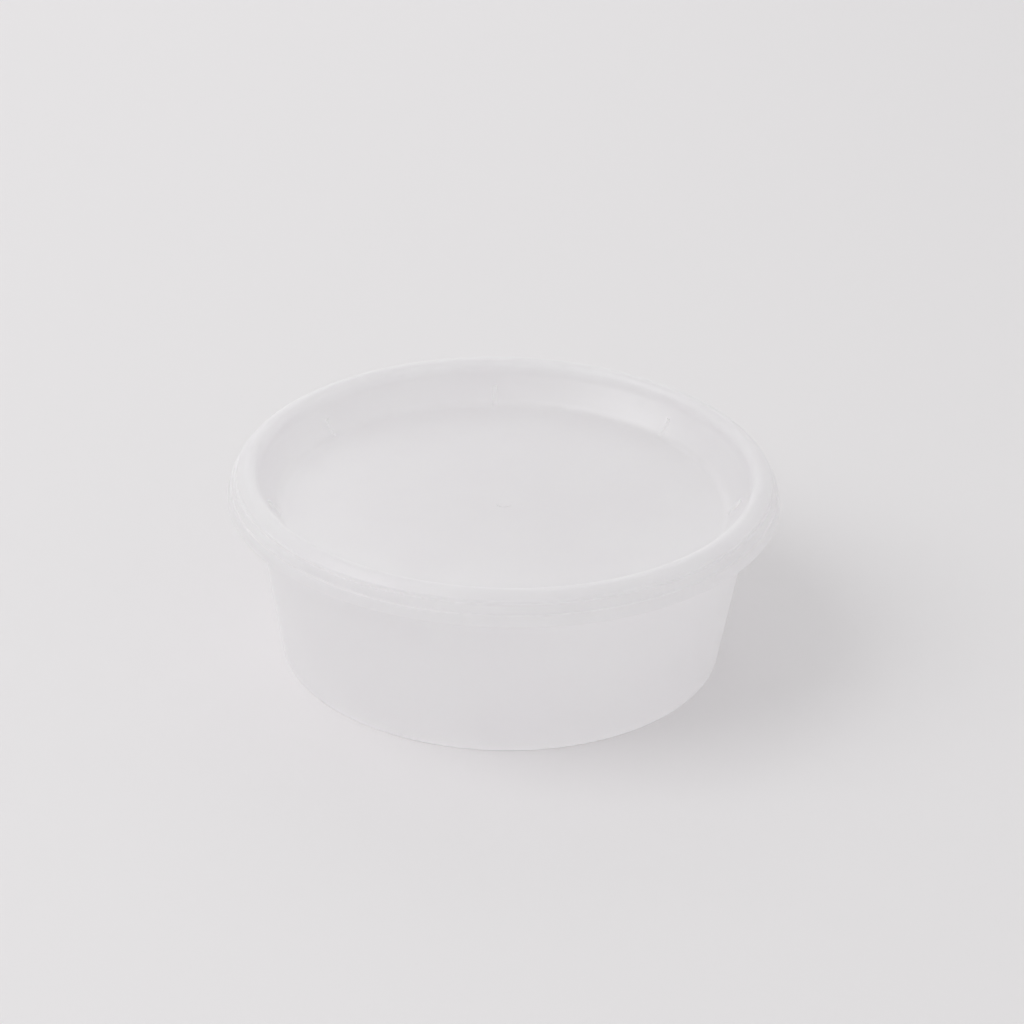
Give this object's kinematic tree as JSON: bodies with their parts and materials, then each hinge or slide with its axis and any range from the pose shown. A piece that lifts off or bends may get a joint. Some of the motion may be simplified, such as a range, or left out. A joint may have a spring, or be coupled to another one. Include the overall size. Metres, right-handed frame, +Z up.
{
  "type": "lidded takeaway soup container",
  "caption": "Round, thin-walled translucent plastic takeaway tub, shut with its recessed snap lid and empty, for soup or other prepared food.",
  "frame": {"origin": "centre of the foot ring, on the surface the tub stands on", "axes": "+Z up along the tub's axis of revolution; -Y is the side that the picture shows in front"},
  "size_m": [0.1174, 0.1174, 0.0422],
  "materials": {
    "tub_plastic": "natural translucent polypropylene, injection moulded, satin",
    "lid_plastic": "natural translucent polypropylene, injection moulded thin, satin"
  },
  "bodies": {
    "root": {"tub": "tub_plastic", "lid": "lid_plastic"}
  },
  "joints": []
}
